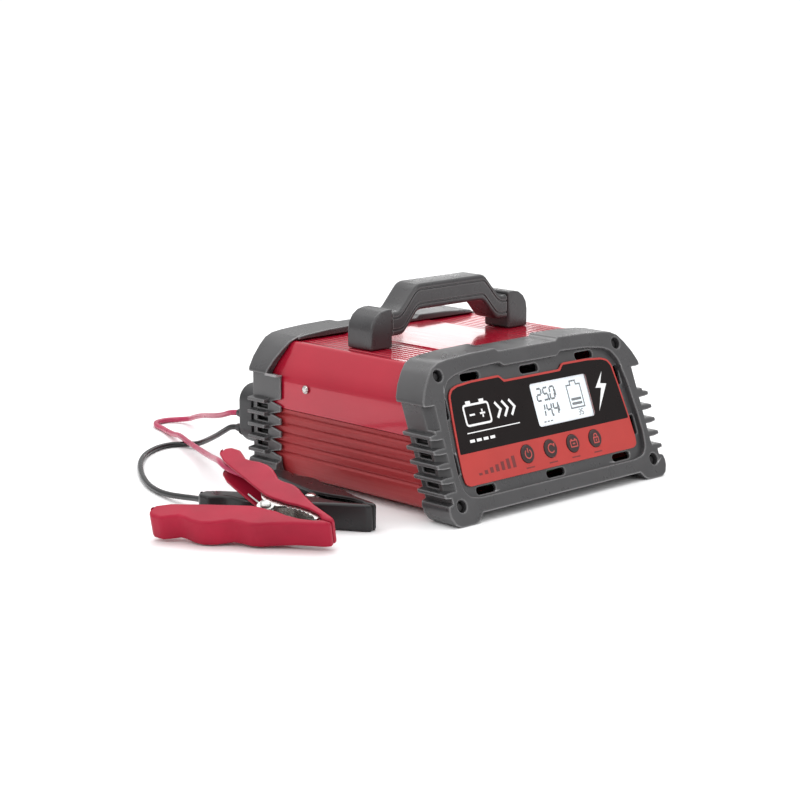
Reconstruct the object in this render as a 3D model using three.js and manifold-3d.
// Car battery charger: a two-part aluminium case between a leaning front bezel and an upright rear
// bezel, a fold-flat carry handle, a fan-cooled power board, and two leads that end in spring clamps.
// Millimetres, +Z up, front towards -Y. The origin is on the floor, under the middle of the charger.

import * as THREE from 'three';
import { mergeVertices } from 'three/addons/utils/BufferGeometryUtils.js';
import Module from 'manifold-3d';

const wasm = await Module();
wasm.setup();

// ---------------------------------------------------------------- driving dimensions
const GAP = 0.3;                  // clearance between pieces that touch
const FRONT_Y = -114;             // the leaning front plane meets the floor here
const LEAN = 0.381;               // how far the front leans back for each unit of height
const REAR_Y = 97.5;              // outer face of the rear bezel
const SCREW_Z = 13.3;             // height of the bottom front screws, where panel height is zero
const WALL_X = 107.5;             // half width of the bezels' side walls
const FIN_X = 113;                // half width over the fins
const TOP_Z = 107;                // highest edge of the bezels
const RING_DEPTH = 25.2;          // front bezel, measured square to its face
const FACE_DEPTH = 7;             // thickness of the front bezel's face
const RECESS_DEPTH = 4;           // the panel lies this far below the face
const SHELL_WALL = 2.2;
const SEAM_Z = 54;                // joint between the upper and the lower shell
const FIN_TOP_Z = 58.2;           // middle of the highest side fin
const FIN_PITCH = 9.3;
const FIN_COUNT = 5;
const REAR_RING_Y = 67;           // front edge of the rear bezel
const REAR_FIN_Y = 79;            // front end of the rear bezel's fins
const REAR_WALL = 3;

const HANDLE_Y = 12.5;            // the handle stands here, front to back
const HANDLE_PIVOT_Z = 115.5;
const BRACKET_INNER_X = 59.5;
const BRACKET_OUTER_X = 80.5;
const BRACKET_DEPTH = 25;
const BRACKET_TOP_Z = 129;
const GRIP_DEPTH = 23;
const DECK_Z = 100.9;             // ribbed top of the case

const LCD = { x: 24, s: 55.9, width: 60, height: 31.7 };
const BUTTONS = ['power', 'mode', 'battery', 'lock'];
const BUTTON = { firstX: -24.5, pitch: 23.7, s: 24.3, radius: 6.4, travel: 0.8 };

const FAN = { x: 8, z: 52, side: 80, depth: 25, radius: 36 };
const INLET = { x: 71, z: 38, width: 27, height: 20 };
const OUTLET = { x: -94.5, z: 44, width: 29, height: 44, depth: 16.2 };
const LEAD_DIAMETER = 4.2;
const RED_EXIT = { x: -100.8, z: 42 };
const BLACK_EXIT = { x: -102, z: 31.2 };

const CLAMP = { width: 18.6, pivotX: -50.4, tailX: -110.6, tailY: 39.1, plate: 2.2, skin: 2.6 };

// ---------------------------------------------------------------- materials
const finish = (color, roughness, metalness) =>
  new THREE.MeshStandardMaterial({ color, roughness, metalness });

const redAluminium = finish(0xb8323f, 0.3, 0.5);
const bezelPlastic = finish(0x5c5b60, 0.5, 0);
const handlePlastic = finish(0x4a494d, 0.5, 0);
const blackPlastic = finish(0x1d1d1f, 0.5, 0);
const labelPrint = finish(0x2c2526, 0.35, 0);
const clearWindow = finish(0xe8eef0, 0.1, 0);
const displayGlass = finish(0xf2f5f6, 0.3, 0);
const buttonRubber = finish(0x3b2c2c, 0.6, 0);
const boardGreen = finish(0x1f5b38, 0.5, 0);
const steel = finish(0xc4c6c8, 0.3, 1);
const darkSteel = finish(0x2b2b2c, 0.35, 1);
const blackSteel = finish(0x2a2a2c, 0.45, 0.8);
const bareAluminium = finish(0xb9bcc0, 0.4, 1);
const copper = finish(0xb8733a, 0.35, 1);
const ferrite = finish(0x3a3b3f, 0.7, 0);
const capacitorSleeve = finish(0x27303f, 0.4, 0);
const redCable = finish(0xb03a6a, 0.5, 0);
const blackCable = finish(0x2b2b2d, 0.5, 0);
const redClampPlastic = finish(0xb03048, 0.45, 0);
const blackClampPlastic = finish(0x38373a, 0.45, 0);

// ---------------------------------------------------------------- solids
const solidFrom = (geometry, matrix = new THREE.Matrix4()) => {
  const bare = geometry.clone();
  bare.deleteAttribute('normal');
  bare.deleteAttribute('uv');
  const merged = mergeVertices(bare.applyMatrix4(matrix), 1e-4);
  const mesh = new wasm.Mesh({
    numProp: 3,
    vertProperties: new Float32Array(merged.attributes.position.array),
    triVerts: new Uint32Array(merged.index.array),
  });
  return new wasm.Manifold(mesh);
};

const join = (solids) => solids.reduce((whole, next) => whole.add(next));
const cut = (solid, tools) => tools.reduce((left, tool) => left.subtract(tool), solid);

const geometryFrom = (solid) => {
  const { vertProperties, triVerts } = solid.getMesh();
  const indexed = new THREE.BufferGeometry();
  indexed.setAttribute('position', new THREE.BufferAttribute(new Float32Array(vertProperties), 3));
  indexed.setIndex(new THREE.BufferAttribute(new Uint32Array(triVerts), 1));
  const geometry = indexed.toNonIndexed();
  geometry.computeVertexNormals();
  return geometry;
};

const polygon = (points) => new THREE.Shape(points.map(([x, y]) => new THREE.Vector2(x, y)));

// A half outline runs from the middle of the top to the middle of the bottom on the +X side.
const mirrored = (half) => [
  ...half,
  ...half.filter(([x]) => x > 0).reverse().map(([x, z]) => [-x, z]),
];

const rectangle = (x0, x1, y0, y1) => polygon([[x0, y0], [x1, y0], [x1, y1], [x0, y1]]);

const disc = (x, y, radius) => {
  const shape = new THREE.Shape();
  shape.absarc(x, y, radius, 0, 2 * Math.PI, false);
  return shape;
};

const slot = (x, y, width, height) => {
  const r = Math.min(width, height) * 0.42;
  const [w, h] = [width / 2, height / 2];
  const shape = new THREE.Shape();
  shape.absarc(x + w - r, y + h - r, r, 0, Math.PI / 2, false);
  shape.absarc(x - w + r, y + h - r, r, Math.PI / 2, Math.PI, false);
  shape.absarc(x - w + r, y - h + r, r, Math.PI, 1.5 * Math.PI, false);
  shape.absarc(x + w - r, y - h + r, r, 1.5 * Math.PI, 2 * Math.PI, false);
  return shape;
};

const extruded = (shape, depth, curveSegments = 2) =>
  new THREE.ExtrudeGeometry(shape, { depth, bevelEnabled: false, curveSegments });

// A shape drawn in X and Z, pushed along Y.
const alongY = (shape, yFrom, yTo, curveSegments) => {
  const matrix = new THREE.Matrix4().makeTranslation(0, yTo, 0);
  matrix.multiply(new THREE.Matrix4().makeRotationX(Math.PI / 2));
  return solidFrom(extruded(shape, yTo - yFrom, curveSegments), matrix);
};

// A shape drawn in X and Y, pushed along Z.
const alongZ = (shape, zFrom, zTo, curveSegments) =>
  solidFrom(extruded(shape, zTo - zFrom, curveSegments), new THREE.Matrix4().makeTranslation(0, 0, zFrom));

// A shape drawn in Y and Z, pushed along X.
const alongX = (shape, xFrom, xTo, curveSegments) => {
  const axes = new THREE.Matrix4().makeBasis(
    new THREE.Vector3(0, 1, 0), new THREE.Vector3(0, 0, 1), new THREE.Vector3(1, 0, 0));
  return solidFrom(extruded(shape, xTo - xFrom, curveSegments), axes.setPosition(xFrom, 0, 0));
};

// The front panel's own frame: x to the right, s up the slope, d square to the face and outwards.
const panelFrame = new THREE.Matrix4()
  .makeRotationX(Math.atan2(1, LEAN))
  .setPosition(0, FRONT_Y + LEAN * SCREW_Z, SCREW_Z);

const onPanel = (shape, dFrom, dTo, curveSegments) => {
  const matrix = panelFrame.clone().multiply(new THREE.Matrix4().makeTranslation(0, 0, dFrom));
  return solidFrom(extruded(shape, dTo - dFrom, curveSegments), matrix);
};

const panelBlock = (x0, x1, s0, s1, dFrom, dTo) => onPanel(rectangle(x0, x1, s0, s1), dFrom, dTo);

const block = (x0, x1, y0, y1, z0, z1) => alongZ(rectangle(x0, x1, y0, y1), z0, z1);

const bothSides = (make) => [make(1), make(-1)];
const spanX = (side, a, b) => (side > 0 ? [a, b] : [-b, -a]);

// A turned shape: profile points are [radius, height] and the axis is Y.
const turned = (profile, segments = 20) =>
  new THREE.LatheGeometry(profile.map(([r, h]) => new THREE.Vector2(r, h)), segments);

const charger = new THREE.Group();

const addMesh = (name, geometry, material, parent = charger) => {
  const mesh = new THREE.Mesh(geometry, material);
  mesh.name = name;
  parent.add(mesh);
  return mesh;
};

const addSolid = (name, solid, material, parent) =>
  addMesh(name, geometryFrom(solid), material, parent);

// Pieces placed in this group stand on the front panel.
const panelGroup = new THREE.Group();
panelGroup.applyMatrix4(panelFrame);
charger.add(panelGroup);

// ---------------------------------------------------------------- outlines
const finHeights = Array.from({ length: FIN_COUNT }, (_, k) => FIN_TOP_Z - k * FIN_PITCH);
const gapHeights = finHeights.map((z) => z - FIN_PITCH / 2);

const earPoints = [[0, 104.9], [29.5, 104.9], [32.5, TOP_Z], [60, 106.5], [80, 105.3], [89, 104.2],
  [95.5, 101.5], [101, 96.3], [107, 88.8], [111, 81.5], [111.5, 78.3], [WALL_X, 77.8]];
const finPoints = finHeights.flatMap((z) =>
  [[WALL_X, z + 2], [FIN_X, z + 1.3], [FIN_X, z - 1.3], [WALL_X, z - 2]]);
const footPoints = [[WALL_X, 15.5], [111.5, 14.5], [112.5, 11], [112, 7], [109.5, 2.5], [105, 0],
  [92, 0], [87, 1.2], [82, 6.2], [0, 6.2]];

const finnedOutline = polygon(mirrored([...earPoints, ...finPoints, ...footPoints]));
const plainOutline = polygon(mirrored([...earPoints, ...footPoints]));

const cavityOutline = polygon(mirrored([[0, 102.4], [91.5, 102], [94.2, 100], [97.2, 94.8],
  [101.2, 87.8], [104.3, 80.7], [105.8, 74], [105.8, 17], [104.9, 10.8], [102.2, 5.8], [98.4, 3.4],
  [87.6, 3.4], [82.6, 8.4], [0, 8.4]]));

// An outline with each corner replaced by a short arc that starts up to reach away from it.
const softened = (points, reach) => points.flatMap(([x, y], k) => {
  const [x0, y0] = points[(k + points.length - 1) % points.length];
  const [x1, y1] = points[(k + 1) % points.length];
  const towards = (px, py) => Math.min(reach / Math.hypot(px - x, py - y), 0.45);
  const [t0, t1] = [towards(x0, y0), towards(x1, y1)];
  const start = [x + (x0 - x) * t0, y + (y0 - y) * t0];
  const end = [x + (x1 - x) * t1, y + (y1 - y) * t1];
  return [0, 0.25, 0.5, 0.75, 1].map((t) => [0, 1].map((axis) =>
    start[axis] * (1 - t) ** 2 + [x, y][axis] * 2 * t * (1 - t) + end[axis] * t ** 2));
});

const recessHalf = [[28, 87.3], [31, 90.2], [60, 89.2], [76, 87], [84, 84], [89.5, 77], [93, 60],
  [95.5, 35], [96, 20], [94.5, 10], [90, 4.8], [80, 3]];
const recessOutline = polygon(softened(mirrored(recessHalf), 2.5));

const labelHalf = [[28.5, 78], [32.5, 82], [60, 81.8], [75, 80.5], [81, 78.5], [84.3, 74], [86.2, 60],
  [88.6, 35], [89.6, 20], [88.9, 13.4], [85, 11.3]];
const labelOutline = polygon(softened(mirrored(labelHalf), 2));

// ---------------------------------------------------------------- front bezel
const topScrew = { x: 91.7, s: 88.7 };
const bottomScrew = { x: 100, s: 0 };
const frontScrews = [topScrew, bottomScrew].flatMap(({ x, s }) => [{ x, s }, { x: -x, s }]);
const buttonX = BUTTONS.map((_, k) => BUTTON.firstX + k * BUTTON.pitch);

const ventSlots = [
  slot(0, 82.6, 18.5, 5.6), slot(0, 7.2, 18.5, 5.2),
  ...bothSides((side) => slot(side * 58.8, 84.8, 18.5, 5.2)),
  ...bothSides((side) => slot(side * 70.3, 7.4, 18.5, 5.2)),
  ...bothSides((side) => slot(side * 88.9, 66, 4.2, 14.5)),
  ...bothSides((side) => slot(side * 92.3, 28, 4, 14.5)),
];

const frontSlab = panelBlock(-150, 150, -60, 160, -RING_DEPTH, 0);
const frontHollow = alongY(cavityOutline, -200, 60)
  .intersect(panelBlock(-150, 150, -60, 160, -60, -FACE_DEPTH));

// Between the fins the face is chamfered back to the side wall, and the wall has an air slot.
const chamferWedge = (side, s0, s1) => {
  const triangle = polygon([[side * 101, 1], [side * 115, 1], [side * 115, -7], [side * 107.6, -7]]);
  const matrix = panelFrame.clone()
    .multiply(new THREE.Matrix4().makeTranslation(0, s1, 0))
    .multiply(new THREE.Matrix4().makeRotationX(Math.PI / 2));
  return solidFrom(extruded(triangle, s1 - s0), matrix);
};

const frontSideCuts = [1, -1].flatMap((side) => {
  const [x0, x1] = spanX(side, 104, 112);
  const slice = (z, height) => block(-150, 150, -150, 60, z - height / 2, z + height / 2);
  const wedge = chamferWedge(side, -40, 120);
  const wallSlot = panelBlock(x0, x1, -40, 120, -20, -9.5);
  const gaps = gapHeights.slice(0, -1);
  const chamfers = gaps.map((z) => wedge.intersect(slice(z, 5.3)));
  const slots = gaps.map((z) => wallSlot.intersect(slice(z, 3.2)));
  return [...chamfers, wedge.intersect(slice(70.1, 15.4)), ...slots];
});

const boardPosts = [[-56, 13], [66, 13], [-56, 76], [66, 76]];

const frontBezelCuts = [
  frontHollow,
  onPanel(recessOutline, -RECESS_DEPTH, 1),
  ...ventSlots.map((shape) => onPanel(shape, -FACE_DEPTH - 1, 0)),
  panelBlock(LCD.x - LCD.width / 2, LCD.x + LCD.width / 2, LCD.s - LCD.height / 2,
    LCD.s + LCD.height / 2, -FACE_DEPTH - 1, 0),
  ...buttonX.map((x) => onPanel(disc(x, BUTTON.s, BUTTON.radius + GAP), -FACE_DEPTH - 1, 0, 8)),
  ...frontScrews.map(({ x, s }) => onPanel(disc(x, s, 4.3), -5, 1, 8)),
  ...frontScrews.map(({ x, s }) => onPanel(disc(x, s, 2), -FACE_DEPTH - 1, 0, 6)),
  ...frontSideCuts,
];
const frontBezel = join([
  cut(alongY(finnedOutline, -200, 60).intersect(frontSlab), frontBezelCuts),
  ...boardPosts.map(([x, s]) => onPanel(disc(x, s, 3), -11.6, -FACE_DEPTH + 0.5, 4)),
]);
addSolid('front_bezel', frontBezel, bezelPlastic);

// ---------------------------------------------------------------- rear bezel
const REAR_PANEL = { halfWidth: 88, z0: 12.5, z1: 92.5 };
const rearScrews = [{ x: 91.7, z: 94 }, { x: 100, z: SCREW_Z }]
  .flatMap(({ x, z }) => [{ x, z }, { x: -x, z }]);

const earLean = polygon([[REAR_RING_Y - 5, 78.4], [REAR_RING_Y + 11, 78.4], [REAR_RING_Y + 1.5, 103.4],
  [REAR_RING_Y, 112], [REAR_RING_Y - 5, 112]]);
const fingerNotch = (z) => polygon([[REAR_RING_Y - 1, z + 2.7], [REAR_RING_Y - 1, z - 2.7],
  [REAR_FIN_Y - 1, z]]);

const rearSideCuts = [1, -1].flatMap((side) => {
  const [x0, x1] = spanX(side, 104, 112);
  const notches = finHeights.map((z) => alongX(fingerNotch(z), x0, x1));
  const slots = gapHeights.slice(0, -1).map((z) => block(x0, x1, 81, 93, z - 1.6, z + 1.6));
  const [e0, e1] = spanX(side, 89, 120);
  return [...notches, ...slots, alongX(earLean, e0, e1)];
});

const rearBezel = cut(
  join([
    alongY(plainOutline, REAR_RING_Y, REAR_Y),
    alongY(finnedOutline, REAR_FIN_Y, REAR_Y),
  ]),
  [
    alongY(cavityOutline, REAR_RING_Y - 1, REAR_Y - REAR_WALL),
    block(-REAR_PANEL.halfWidth, REAR_PANEL.halfWidth, 90, REAR_Y + 1, REAR_PANEL.z0, REAR_PANEL.z1),
    ...rearScrews.map(({ x, z }) => alongY(disc(x, z, 2), 90, REAR_Y + 1, 6)),
    ...rearSideCuts,
  ],
);
addSolid('rear_bezel', rearBezel, bezelPlastic);

// ---------------------------------------------------------------- case shells
const deckRibs = Array.from({ length: 8 }, (_, k) => 45 + k * 5.4)
  .flatMap((x) => [[x, DECK_Z], [x + 1, DECK_Z - 1.3], [x + 2, DECK_Z]]);
const upperOuter = mirrored([[0, 101.8], [42, 101.8], [43, DECK_Z], ...deckRibs, [88.6, DECK_Z],
  [90, 101.4], [92, 101], [93.6, 99.6], [96.6, 94.4], [100.6, 87.4], [103.7, 80.4], [105.1, 74],
  [105.3, 64], [105.3, SEAM_Z + 0.2], [0, SEAM_Z + 0.2]]);
const upperInner = mirrored([[0, 98.6], [89.6, 98.6], [91.6, 98], [94.6, 93.2], [98.4, 86.6],
  [101.4, 79.9], [102.9, 73.6], [102.9, SEAM_Z - 2]]);

const sideRibs = Array.from({ length: 5 }, (_, k) => SEAM_Z - 4.4 - k * 7)
  .flatMap((z) => [[104.7, z + 1.6], [103.5, z], [104.7, z - 1.6]]);
const lowerOuter = mirrored([[0, SEAM_Z - 0.2], [104.7, SEAM_Z - 0.2], ...sideRibs, [104.7, 17],
  [103.8, 11.2], [101.2, 6.6], [97.8, 4.2], [88.2, 4.2], [83.2, 9.2], [0, 9.2]]);
const lowerInner = mirrored([[0, SEAM_Z + 6], [101.4, SEAM_Z + 6], [101.4, 17.4], [100.8, 13.4],
  [98.4, 11.4], [0, 11.4]]);

const shellLength = (outline) => alongY(polygon(outline), -200, REAR_Y - REAR_WALL - 3)
  .intersect(panelBlock(-150, 150, -60, 300, -400, -FACE_DEPTH - 2));

// Solid corner ports take the bezel screws.
const frontPorts = frontScrews.map(({ x, s }) => {
  const [x0, x1] = spanX(Math.sign(x), Math.abs(x) - 4, 112);
  return panelBlock(x0, x1, s - 4, s + 4, -22, -FACE_DEPTH - 2);
});
const rearPorts = rearScrews.map(({ x, z }) => {
  const [x0, x1] = spanX(Math.sign(x), Math.abs(x) - 4, 112);
  return block(x0, x1, 74, REAR_Y - REAR_WALL - 3, z - 4, z + 4);
});
const screwHoles = [
  ...frontScrews.map(({ x, s }) => onPanel(disc(x, s, 2), -21, 0, 6)),
  ...rearScrews.map(({ x, z }) => alongY(disc(x, z, 2), 76, REAR_Y, 6)),
];
const SIDE_SCREW = { y: 41, z: 71.6 };
const sideHoles = bothSides((side) =>
  alongX(disc(SIDE_SCREW.y, SIDE_SCREW.z, 1.9), ...spanX(side, 100, 110), 6));

const upperBody = shellLength(upperOuter);
const lowerBody = shellLength(lowerOuter);
const upperPorts = [frontPorts[0], frontPorts[1], rearPorts[0], rearPorts[1]];
const lowerPorts = [frontPorts[2], frontPorts[3], rearPorts[2], rearPorts[3]];
const portsWithin = (ports, body) => ports.map((port) => port.intersect(body));

const upperShell = cut(
  join([upperBody.subtract(alongY(polygon(upperInner), -201, 200)), ...portsWithin(upperPorts, upperBody)]),
  [...screwHoles, ...sideHoles],
);
const tongues = bothSides((side) => {
  const [x0, x1] = spanX(side, 101.3, 102.5);
  return block(x0, x1, -200, REAR_Y - REAR_WALL - 3, SEAM_Z - 8, SEAM_Z + 3)
    .intersect(panelBlock(-150, 150, -60, 300, -400, -FACE_DEPTH - 2));
});
const lowerShell = cut(
  join([
    lowerBody.subtract(alongY(polygon(lowerInner), -201, 200)),
    ...portsWithin(lowerPorts, lowerBody),
    ...tongues,
  ]),
  screwHoles,
);
addSolid('upper_shell', upperShell, redAluminium);
addSolid('lower_shell', lowerShell, redAluminium);

// ---------------------------------------------------------------- front panel
const labelTop = -RECESS_DEPTH + 1.3;
const labelPanel = cut(onPanel(labelOutline, -RECESS_DEPTH + GAP, labelTop), [
  panelBlock(LCD.x - LCD.width / 2, LCD.x + LCD.width / 2, LCD.s - LCD.height / 2,
    LCD.s + LCD.height / 2, -10, 0),
  ...buttonX.map((x) => onPanel(disc(x, BUTTON.s, BUTTON.radius + GAP), -10, 0, 8)),
]);
addSolid('label_panel', labelPanel, labelPrint);

const panelBox = (name, width, height, depth, x, s, dTop, material) => {
  const mesh = addMesh(name, new THREE.BoxGeometry(width, height, depth), material, panelGroup);
  mesh.position.set(x, s, dTop - depth / 2);
};
panelBox('lcd_window', LCD.width - 2 * GAP, LCD.height - 2 * GAP, 1.2, LCD.x, LCD.s, labelTop, clearWindow);
panelBox('lcd_module', LCD.width - 2 * GAP, LCD.height - 2 * GAP, 7.2, LCD.x, LCD.s, labelTop - 1.5,
  displayGlass);
panelBox('display_board', 132, 70, 1.6, 5, 44.5, -11.9, boardGreen);

// Button caps: a domed face, a flange behind the bezel's face and a stem that reaches the board.
const buttonProfile = [[0, -11], [1.8, -11], [1.8, -8.6], [7.6, -8.6], [7.6, -FACE_DEPTH - GAP],
  [BUTTON.radius, -FACE_DEPTH - GAP], [BUTTON.radius, -2.4], [BUTTON.radius - 0.6, -1.9], [0, -1.7]];
BUTTONS.forEach((label, k) => {
  const cap = addMesh(`${label}_button`, turned(buttonProfile, 24), buttonRubber, panelGroup);
  cap.rotation.x = Math.PI / 2;
  cap.position.set(buttonX[k], BUTTON.s, 0);
});

// ---------------------------------------------------------------- screws
const panHead = (headRadius, headHeight, shaftRadius, shaftLength) => turned([
  [0, -shaftLength], [shaftRadius, -shaftLength], [shaftRadius, 0], [headRadius, 0],
  [headRadius, headHeight * 0.55], [headRadius * 0.62, headHeight], [0, headHeight]], 14);

frontScrews.forEach(({ x, s }, k) => {
  const screw = addMesh(`front_screw_${k + 1}`, panHead(3.5, 2.2, 1.65, 14.5), darkSteel, panelGroup);
  screw.rotation.x = Math.PI / 2;
  screw.position.set(x, s, -5 + GAP);
});
rearScrews.forEach(({ x, z }, k) => {
  const screw = addMesh(`rear_screw_${k + 1}`, panHead(3.5, 2.2, 1.65, 19), darkSteel);
  screw.position.set(x, REAR_Y + GAP, z);
});
bothSides((side) => {
  const name = side > 0 ? 'side_screw_right' : 'side_screw_left';
  const screw = addMesh(name, panHead(3, 1.9, 1.55, 10), steel);
  screw.rotation.z = -side * Math.PI / 2;
  screw.position.set(side * (105.3 + GAP), SIDE_SCREW.y, SIDE_SCREW.z);
});

// ---------------------------------------------------------------- carry handle
const bracketShape = (side) => {
  const [inner, outer, round] = [side * BRACKET_INNER_X, side * BRACKET_OUTER_X, 15];
  const centre = outer - side * round;
  const shape = new THREE.Shape();
  shape.moveTo(inner, DECK_Z + GAP);
  shape.lineTo(outer, DECK_Z + GAP);
  shape.absarc(centre, BRACKET_TOP_Z - round, round, side > 0 ? 0 : Math.PI, Math.PI / 2, side < 0);
  shape.lineTo(inner, BRACKET_TOP_Z);
  return shape;
};
const pivotBore = (x0, x1) => alongX(disc(HANDLE_Y, HANDLE_PIVOT_Z, 3.3), x0, x1, 6);

bothSides((side) => {
  const name = side > 0 ? 'right' : 'left';
  const bracket = alongY(bracketShape(side), HANDLE_Y - BRACKET_DEPTH / 2, HANDLE_Y + BRACKET_DEPTH / 2)
    .subtract(pivotBore(...spanX(side, BRACKET_INNER_X - 1, BRACKET_INNER_X + 12)));
  addSolid(`handle_bracket_${name}`, bracket, handlePlastic);
  const pin = addMesh(`handle_pin_${name}`, new THREE.CylinderGeometry(3, 3, 21, 16), steel);
  pin.rotation.z = Math.PI / 2;
  pin.position.set(side * (BRACKET_INNER_X + 0.8), HANDLE_Y, HANDLE_PIVOT_Z);
});

const gripOutline = polygon(mirrored([[0, 144.5], [32.5, 144.5], [36.5, 142.8], [50, 128], [54, 126.6],
  [BRACKET_INNER_X - 0.5, 126.6], [BRACKET_INNER_X - 0.5, 109], [50, 109], [46.5, 111.2], [36, 123.2],
  [32, 125.3], [0, 125.3]]));
const grip = cut(
  alongY(gripOutline, HANDLE_Y - GRIP_DEPTH / 2, HANDLE_Y + GRIP_DEPTH / 2),
  bothSides((side) => pivotBore(...spanX(side, BRACKET_INNER_X - 10.3, BRACKET_INNER_X))),
);
addSolid('handle_grip', grip, handlePlastic);

// ---------------------------------------------------------------- rear panel, fan and sockets
const PANEL_FACE_Y = REAR_Y - REAR_WALL - GAP;
const rearPanel = cut(
  block(-89.6, 89.6, PANEL_FACE_Y - 2, PANEL_FACE_Y, 12, 97.6),
  [
    alongY(disc(FAN.x, FAN.z, FAN.radius + 1), 80, 110, 12),
    block(INLET.x - INLET.width / 2 - GAP, INLET.x + INLET.width / 2 + GAP, 80, 110,
      INLET.z - INLET.height / 2 - GAP, INLET.z + INLET.height / 2 + GAP),
  ],
);
addSolid('rear_panel', rearPanel, blackSteel);

const fanBackY = PANEL_FACE_Y - 2 - GAP;
const fanHalf = FAN.side / 2;
const fanBar = (turn) => {
  const matrix = new THREE.Matrix4().makeTranslation(FAN.x, fanBackY - FAN.depth, FAN.z)
    .multiply(new THREE.Matrix4().makeRotationY(turn));
  return solidFrom(new THREE.BoxGeometry(2 * (FAN.radius + 2.5), 2.6, 4).translate(0, 1.3, 0), matrix);
};
const fanFrame = join([
  block(FAN.x - fanHalf, FAN.x + fanHalf, fanBackY - FAN.depth, fanBackY, FAN.z - fanHalf, FAN.z + fanHalf)
    .subtract(alongY(disc(FAN.x, FAN.z, FAN.radius + 1.5), 0, 120, 12)),
  fanBar(Math.PI / 4), fanBar(-Math.PI / 4),
  alongY(disc(FAN.x, FAN.z, 17), fanBackY - FAN.depth, fanBackY - FAN.depth + 2.6, 8),
]);
addSolid('fan_frame', fanFrame, blackPlastic);

const fanBlade = (turn) => {
  const blade = new THREE.BoxGeometry(FAN.radius - 14.5, 1.6, 15);
  const matrix = new THREE.Matrix4().makeRotationY(turn)
    .multiply(new THREE.Matrix4().makeTranslation((FAN.radius + 14.5) / 2, 0, 0))
    .multiply(new THREE.Matrix4().makeRotationX(0.75));
  return solidFrom(blade, matrix);
};
const BLADES = 7;
const fanRotor = join([
  alongY(disc(0, 0, 16), -8, 8, 8),
  ...Array.from({ length: BLADES }, (_, k) => fanBlade((k * 2 * Math.PI) / BLADES)),
]);
const rotor = addSolid('fan_rotor', fanRotor, blackPlastic);
rotor.position.set(FAN.x, fanBackY - FAN.depth / 2 + 1.5, FAN.z);

const ring = (radius, wire) => {
  const profile = [[radius + wire, 0], [radius, wire], [radius - wire, 0], [radius, -wire],
    [radius + wire, 0]];
  const matrix = new THREE.Matrix4().makeTranslation(FAN.x, PANEL_FACE_Y + GAP + wire, FAN.z);
  return solidFrom(turned(profile, 24), matrix);
};
const guardSpoke = (turn) => {
  const matrix = new THREE.Matrix4().makeTranslation(FAN.x, PANEL_FACE_Y + GAP + 1.1, FAN.z)
    .multiply(new THREE.Matrix4().makeRotationY(turn));
  return solidFrom(new THREE.BoxGeometry(74, 1.8, 1.8), matrix);
};
const fanGuard = join([
  ...[36.5, 28.5, 20.5, 12.5].map((radius) => ring(radius, 1.1)),
  guardSpoke(Math.PI / 4), guardSpoke(-Math.PI / 4),
]);
addSolid('fan_guard', fanGuard, steel);

const inletPin = (dx, dz) => block(INLET.x + dx - 2, INLET.x + dx + 2, 76, PANEL_FACE_Y - 3,
  INLET.z + dz - 1, INLET.z + dz + 1);
const mainsInlet = join([
  cut(
    join([
      block(INLET.x - 13.5, INLET.x + 13.5, 72, PANEL_FACE_Y + 1, INLET.z - 10, INLET.z + 10),
      block(INLET.x - 15.5, INLET.x + 15.5, PANEL_FACE_Y + GAP, REAR_Y + 1.5,
        INLET.z - 12.5, INLET.z + 12.5),
    ]),
    [block(INLET.x - 12, INLET.x + 12, 76, REAR_Y + 3, INLET.z - 8.2, INLET.z + 8.2)],
  ),
  inletPin(-7, 0), inletPin(7, 0), inletPin(0, 4),
  block(INLET.x - 12.5, INLET.x + 12.5, 73, 76.5, INLET.z - 9, INLET.z + 9),
]);
addSolid('mains_inlet', mainsInlet, blackPlastic);

// The leads leave through a rounded cover at the left of the rear face.
const outletShape = slot(OUTLET.x, OUTLET.z, OUTLET.width - 8, OUTLET.height - 8);
const outletGeometry = new THREE.ExtrudeGeometry(outletShape, {
  depth: OUTLET.depth - 4, bevelEnabled: true, bevelThickness: 4, bevelSize: 4, bevelSegments: 3,
  curveSegments: 4,
});
const outletPlace = new THREE.Matrix4().makeTranslation(0, REAR_Y + GAP + OUTLET.depth - 4, 0)
  .multiply(new THREE.Matrix4().makeRotationX(Math.PI / 2));
const outletCover = solidFrom(outletGeometry, outletPlace)
  .intersect(block(-150, 150, REAR_Y + GAP, 150, 0, 150));
addSolid('lead_outlet_cover', outletCover, blackPlastic);

const OUTLET_FACE_Y = REAR_Y + GAP + OUTLET.depth;
const glandProfile = [[0, 0], [4.9, 0], [4.9, 1.6], [3.6, 1.8], [2.9, 7.5], [0, 7.5]];
const addGland = (name, exit, material) => {
  const gland = addMesh(name, turned(glandProfile, 14), material);
  gland.position.set(exit.x, OUTLET_FACE_Y + GAP, exit.z);
};
addGland('red_lead_gland', RED_EXIT, blackPlastic);
addGland('black_lead_gland', BLACK_EXIT, blackPlastic);

// ---------------------------------------------------------------- power electronics
const BOARD = { x0: -76, x1: 78, y0: -62, y1: 60, z: 16, thickness: 1.6 };
const boardTop = BOARD.z + BOARD.thickness;
const addBox = (name, size, centre, material) => {
  const mesh = addMesh(name, new THREE.BoxGeometry(...size), material);
  mesh.position.set(...centre);
};
addBox('main_board', [BOARD.x1 - BOARD.x0, BOARD.y1 - BOARD.y0, BOARD.thickness],
  [(BOARD.x0 + BOARD.x1) / 2, (BOARD.y0 + BOARD.y1) / 2, BOARD.z + BOARD.thickness / 2], boardGreen);

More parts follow.
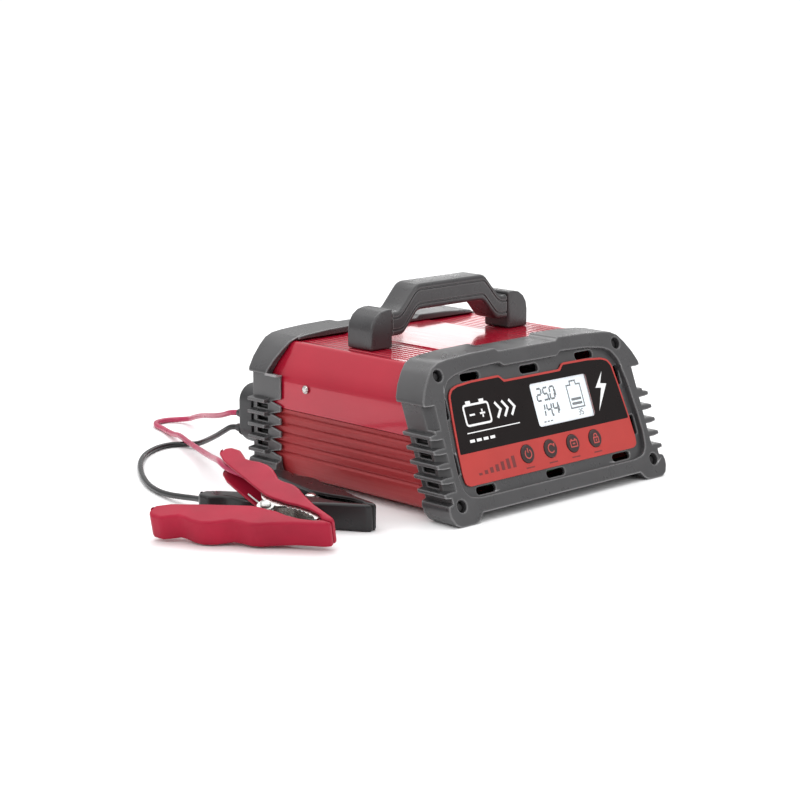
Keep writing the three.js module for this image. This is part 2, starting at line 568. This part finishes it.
const standoffProfile = [[0, 0], [3, 0], [3, BOARD.z - 11.4 - 2 * GAP], [0, BOARD.z - 11.4 - 2 * GAP]];
[[-70, -56], [72, -56], [-70, 54], [72, 54]].forEach(([x, y], k) => {
  const standoff = addMesh(`board_standoff_${k + 1}`, turned(standoffProfile, 10), steel);
  standoff.rotation.x = Math.PI / 2;
  standoff.position.set(x, y, 11.4 + GAP);
});

const transformer = join([
  block(-8, 36, -18, 20, boardTop + GAP, boardTop + 34),
  block(-2, 30, -24, 26, boardTop + 6, boardTop + 28),
]);
addSolid('transformer', transformer, ferrite);

const chokeProfile = Array.from({ length: 9 }, (_, k) => [
  12 + 6 * Math.cos((k * Math.PI) / 4), 7 + 6 * Math.sin((k * Math.PI) / 4)]);
const choke = addMesh('output_choke', turned(chokeProfile, 20), copper);
choke.rotation.x = Math.PI / 2;
choke.position.set(-40, 18, boardTop + GAP - 1);

const capacitorProfile = [[0, 0], [11, 0], [11, 34], [10, 35.5], [0, 35.5]];
[[-44, -24], [54, -24]].forEach(([x, y], k) => {
  const capacitor = addMesh(`capacitor_${k + 1}`, turned(capacitorProfile, 20), capacitorSleeve);
  capacitor.rotation.x = Math.PI / 2;
  capacitor.position.set(x, y, boardTop + GAP);
});

// Finned heat sinks hang on the side screws.
const heatSinkOutline = (side) => {
  const points = [[101, 24], [101, 84]];
  [82, 72, 62, 52, 42, 32].forEach((z) => {
    points.push([97, z + 2], [86, z + 0.8], [86, z - 0.8], [97, z - 2]);
  });
  points.push([97, 24]);
  return polygon(points.map(([x, z]) => [side * x, Math.min(z, 83)]));
};
bothSides((side) => {
  const name = side > 0 ? 'heat_sink_right' : 'heat_sink_left';
  const sink = alongY(heatSinkOutline(side), 5, 62)
    .subtract(alongX(disc(SIDE_SCREW.y, SIDE_SCREW.z, 1.9), ...spanX(side, 92, 110), 6))
    .intersect(block(-110, 110, 0, 70, 20, 79));
  addSolid(name, sink, bareAluminium);
});

// ---------------------------------------------------------------- leads
// Each route is chosen by hand: out of its gland, down to the floor, round to its clamp, and up
// inside the channel of the clamp's lead handle to the jaw.
const redRoute = [
  [-100.8, 122.1, 42], [-101.2, 130, 40.8], [-96.3, 145.5, 36.1], [-87.9, 165, 31.1],
  [-75.9, 188.3, 25.7], [-62.7, 212.3, 20.1], [-50.9, 233.9, 14.6], [-41.1, 252.8, 9.2],
  [-35, 266, 5.2], [-36, 277.5, 3], [-44, 285, 2.3], [-54.5, 283.5, 2.3], [-61.5, 274.5, 2.3],
  [-65.7, 260.4, 2.3], [-71.5, 245.3, 2.9], [-77.4, 230.7, 4.3], [-83.3, 217.7, 6.6],
  [-88.8, 205.8, 7.5], [-94.9, 192.3, 7.8], [-102.5, 175.2, 8.5], [-111.5, 156.3, 9.9],
  [-121.7, 137.6, 12.2], [-133.7, 118.4, 15.8], [-147.6, 97.6, 20.2], [-162, 76.7, 25.1],
  [-175.2, 57.8, 29.7], [-187, 41, 33.8], [-194.8, 29.5, 36.3], [-199.2, 21.5, 36.8],
  [-200.8, 14.5, 35.4], [-200.5, 6.7, 34], [-199.4, -1.2, 32.8], [-198, -9, 31.7],
  [-197.2, -17, 30.4], [-197.3, -25.1, 28.8]];
const blackRoute = [
  [-102, 122.1, 31.2], [-102, 130, 29.8], [-100.4, 140, 25.2], [-97.8, 150.2, 20.4],
  [-94.5, 160.9, 15.9], [-91, 171.8, 11.6], [-87.7, 182.9, 7.4], [-85.9, 194, 4],
  [-88.1, 204, 2.5], [-95.2, 210.2, 2.3], [-106.1, 210.5, 2.3], [-119.1, 205.2, 2.3],
  [-133.2, 195.5, 2.3], [-148.5, 180, 2.3], [-164.2, 159.2, 2.3], [-178.1, 137.2, 2.3],
  [-188.2, 116.8, 2.3], [-194.2, 98.5, 2.5], [-197.2, 82, 3.5], [-198.9, 66, 5.3],
  [-200.6, 50.9, 7.3], [-203, 37.5, 9], [-204.2, 28.5, 9.3], [-204.2, 20.6, 9.3],
  [-203.2, 13.6, 9.3], [-201.4, 6.4, 9.3], [-199.2, -1.3, 9.3], [-196.4, -8.9, 9.3],
  [-192.7, -16.3, 9.3]];

const wireSection = (radius, sides) => polygon(Array.from({ length: sides }, (_, k) => {
  const angle = ((k + 0.5) * 2 * Math.PI) / sides;
  return [radius * Math.cos(angle), radius * Math.sin(angle)];
}));
const addLead = (name, route, steps, material) => {
  const knots = route.map((point) => new THREE.Vector3(...point));
  const path = new THREE.CatmullRomCurve3(knots, false, 'centripetal');
  const section = wireSection(LEAD_DIAMETER / 2, 8);
  addMesh(name, new THREE.ExtrudeGeometry(section, { extrudePath: path, steps }), material);
};
addLead('red_lead', redRoute, 62, redCable);
addLead('black_lead', blackRoute, 50, blackCable);

// ---------------------------------------------------------------- clamps
// Clamp frame: the nose is at the origin, the tails point towards -X, the pivot axis is Z.
const handleOuter = [[1.5, 0.3], [1.5, 3], [-2, 5.4], [-9, 8], [-20, 12], [-32, 18.4], [-40, 23.4],
  [-46, 25.6], [-53, 25.8], [-58.5, 26.8], [-63, 30.6], [-68.5, 34.8], [-75, 37.8], [-82, 38.4],
  [-88, 37.4], [-93, 37.6], [-97.5, 41], [-102.5, 44.6], [-110, 44.8], [-113.5, 41.6]];
const handleInner = [[-114, 35.5], [-105, 28.6], [-96, 24.5], [-82, 18.3], [-66, 11.5], [-56, 7.4],
  [-50, 6.4], [-44, 6.2], [-38, 5.6], [-30, 6.6], [-20, 6.2], [-12, 4.2], [-7, 1], [-4, 0.3]];

// Points of an open chain moved sideways, towards the clamp's middle.
const inset = (chain, distance) => chain.map(([x, y], k) => {
  const before = chain[Math.max(k - 1, 0)];
  const after = chain[Math.min(k + 1, chain.length - 1)];
  const [dx, dy] = [after[0] - before[0], after[1] - before[1]];
  const length = Math.hypot(dx, dy);
  return [x - (dy / length) * distance, y + (dx / length) * distance];
});

const onSide = (side, points) => points.map(([x, y]) => [x, side * y]);
const clampDisc = (x, y, radius, z0, z1) => alongZ(disc(x, y, radius), z0, z1, 6);

const clampHandle = (side) => {
  const outline = polygon(onSide(side, [...handleOuter, ...handleInner]));
  const channelOuter = inset(handleOuter.slice(3), CLAMP.skin);
  const channel = polygon(onSide(side, [[-9, -12], ...channelOuter, [-120, 36], [-120, -12]]));
  return alongZ(outline, 0, CLAMP.width)
    .subtract(alongZ(channel, CLAMP.plate, CLAMP.width - CLAMP.plate));
};

// Steel jaw: two side plates joined by a web, with a toothed edge and a lug on each plate.
const toothCount = 7;
const teeth = Array.from({ length: toothCount }, (_, k) => {
  const x = -38 + k * 3.6;
  const rise = 4.4 + 1.6 * Math.sin(((k + 0.5) / toothCount) * Math.PI) - k * 0.25;
  return [[x, rise], [x + 2.6, rise - 1.5]];
}).flat();
const clampJaw = (side, z0, z1) => {
  const outer = inset(handleOuter.slice(3, 11), CLAMP.skin + GAP + 0.1);
  const face = [[-11.5, 0.4], ...outer, [-63, 12], [-58, 6], [-52, 2], [-43, 2], ...teeth, [-12.4, 0.4]];
  const plate = (from, to) => join([
    alongZ(polygon(onSide(side, face)), from, to),
    clampDisc(CLAMP.pivotX, 0, 6, from, to),
  ]);
  const web = polygon(onSide(side, [...outer, ...inset(outer, 1.5).reverse()]));
  return join([plate(z0, z0 + 1.6), plate(z1 - 1.6, z1), alongZ(web, z0, z1)])
    .subtract(clampDisc(CLAMP.pivotX, 0, 2.6, -1, 30));
};

const clampPin = turned([[0, 1], [3.4, 1], [3.4, 2.1], [2.3, 2.1], [2.3, CLAMP.width - 2.1],
  [3.6, CLAMP.width - 2.1], [3.6, CLAMP.width - 1], [2.4, CLAMP.width - 0.2], [0, CLAMP.width - 0.2]], 16);

// Torsion spring: two turns round the pin, a long arm on the lead handle and a short one.
class SpringPath extends THREE.Curve {
  constructor(side) {
    super();
    this.side = side;
  }

  getPoint(t, target = new THREE.Vector3()) {
    const [radius, turns, arm] = [4.4, 2, 0.14];
    const middle = CLAMP.width / 2;
    if (t < arm) {
      const reach = (1 - t / arm) * 26;
      return target.set(CLAMP.pivotX - reach, this.side * (radius + reach * 0.42), middle - 1.9);
    }
    if (t > 1 - arm) {
      const reach = ((t - 1 + arm) / arm) * 9;
      return target.set(CLAMP.pivotX - reach, this.side * (radius - reach * 0.9), middle + 1.9);
    }
    const u = (t - arm) / (1 - 2 * arm);
    const angle = Math.PI / 2 + u * turns * 2 * Math.PI;
    return target.set(CLAMP.pivotX - radius * Math.cos(angle), this.side * radius * Math.sin(angle),
      middle - 1.9 + 3.8 * u);
  }
}
const springWire = (side) => {
  return new THREE.ExtrudeGeometry(wireSection(0.75, 5), { extrudePath: new SpringPath(side), steps: 52 });
};

// heading is the direction from the nose to the front tail on the floor; tilt raises the other tail.
const addClamp = (colour, leadSide, place, plastic) => {
  const stand = new THREE.Group();
  stand.position.set(...place.nose);
  stand.rotation.set(-place.tilt, 0, place.heading, 'ZYX');
  const clamp = new THREE.Group();
  clamp.rotation.z = Math.PI - Math.atan2(CLAMP.tailY, -CLAMP.tailX);
  stand.add(clamp);
  charger.add(stand);
  const inner = CLAMP.plate + GAP;
  const nested = inner + 2;
  addSolid(`${colour}_clamp_lead_handle`, clampHandle(leadSide), plastic, clamp);
  addSolid(`${colour}_clamp_free_handle`, clampHandle(-leadSide), plastic, clamp);
  addSolid(`${colour}_clamp_lead_jaw`, clampJaw(leadSide, inner, CLAMP.width - inner), steel, clamp);
  addSolid(`${colour}_clamp_free_jaw`, clampJaw(-leadSide, nested, CLAMP.width - nested), steel, clamp);
  const pin = addMesh(`${colour}_clamp_pin`, clampPin, steel, clamp);
  pin.rotation.x = Math.PI / 2;
  pin.position.set(CLAMP.pivotX, 0, 0);
  addMesh(`${colour}_clamp_spring`, springWire(leadSide), steel, clamp);
};
const degrees = (value) => (value * Math.PI) / 180;
const redPlace = { nose: [-202.7, -94.1, 3.7], heading: degrees(122.56), tilt: degrees(20) };
const blackPlace = { nose: [-153, -77.6, 0], heading: degrees(121), tilt: 0 };
addClamp('red', 1, redPlace, redClampPlastic);
addClamp('black', -1, blackPlace, blackClampPlastic);

export default charger;
